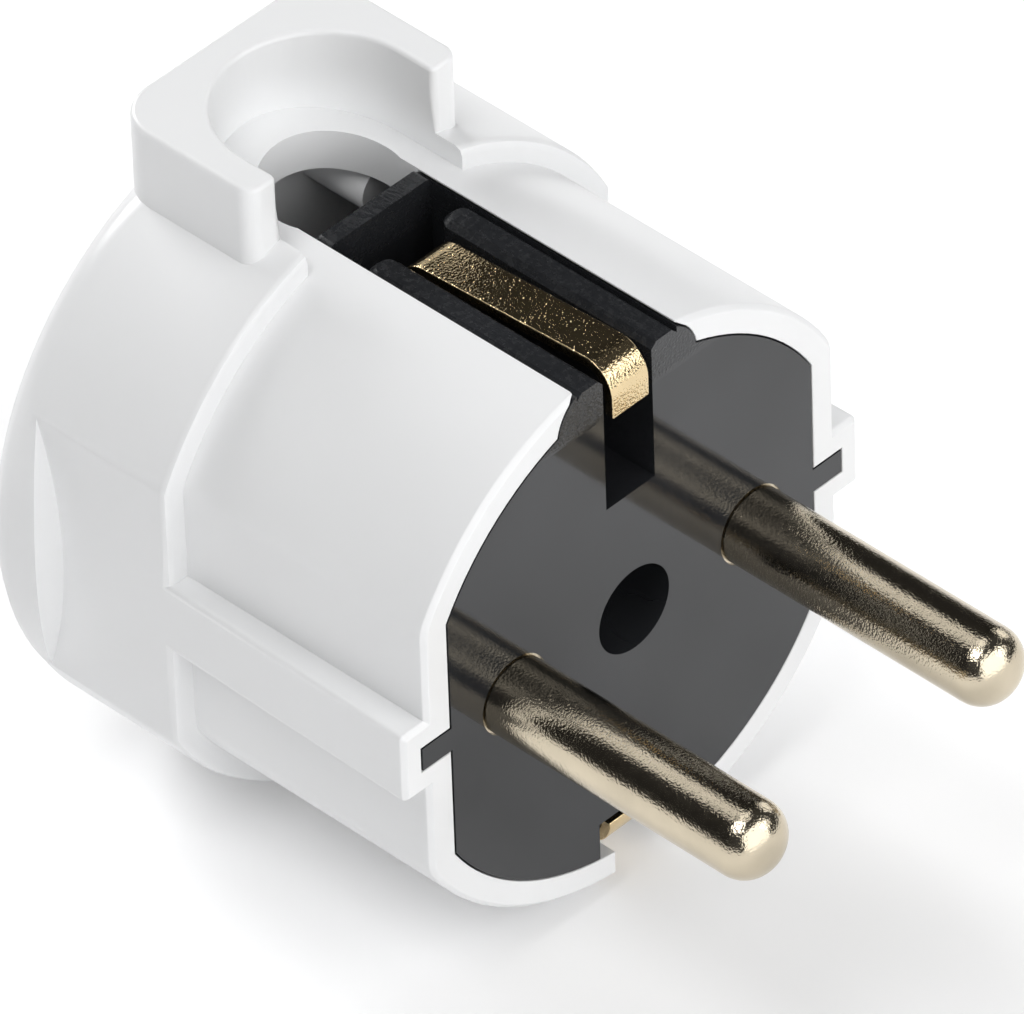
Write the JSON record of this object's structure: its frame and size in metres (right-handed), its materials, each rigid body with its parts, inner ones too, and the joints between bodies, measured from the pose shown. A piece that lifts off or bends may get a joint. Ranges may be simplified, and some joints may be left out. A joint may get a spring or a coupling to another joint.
{
  "type": "grounded mains plug",
  "caption": "Round grounded mains plug: white cover with a cord outlet collar at the top, black core, round pins and a brass earth strip with sprung contacts.",
  "frame": {"origin": "middle of the plug's face, where it seats in the socket, halfway between the pins", "axes": "+X runs from pin to pin, +Y runs back from the face to the head, the pins point along -Y, and +Z points to the cord outlet"},
  "size_m": [0.0399, 0.0506, 0.0429],
  "materials": {
    "white_cover": "smooth, low gloss",
    "black_core": "high gloss",
    "plated_pin": "nickel plated, bright",
    "earth_brass": "rolled strip, grainy with bright edges",
    "zinc_steel": "zinc plated"
  },
  "bodies": {
    "root": {"cover_shell": "white_cover", "core_insert": "black_core", "pin_left": "plated_pin", "pin_right": "plated_pin", "earth_strip": "earth_brass", "earth_washer": "zinc_steel", "earth_screw": "zinc_steel", "assembly_screw": "zinc_steel", "assembly_nut": "zinc_steel", "pin_screw_left": "zinc_steel", "pin_screw_right": "zinc_steel", "clamp_screw_left": "zinc_steel", "clamp_screw_right": "zinc_steel", "cord_clamp": "black_core"}
  },
  "joints": []
}
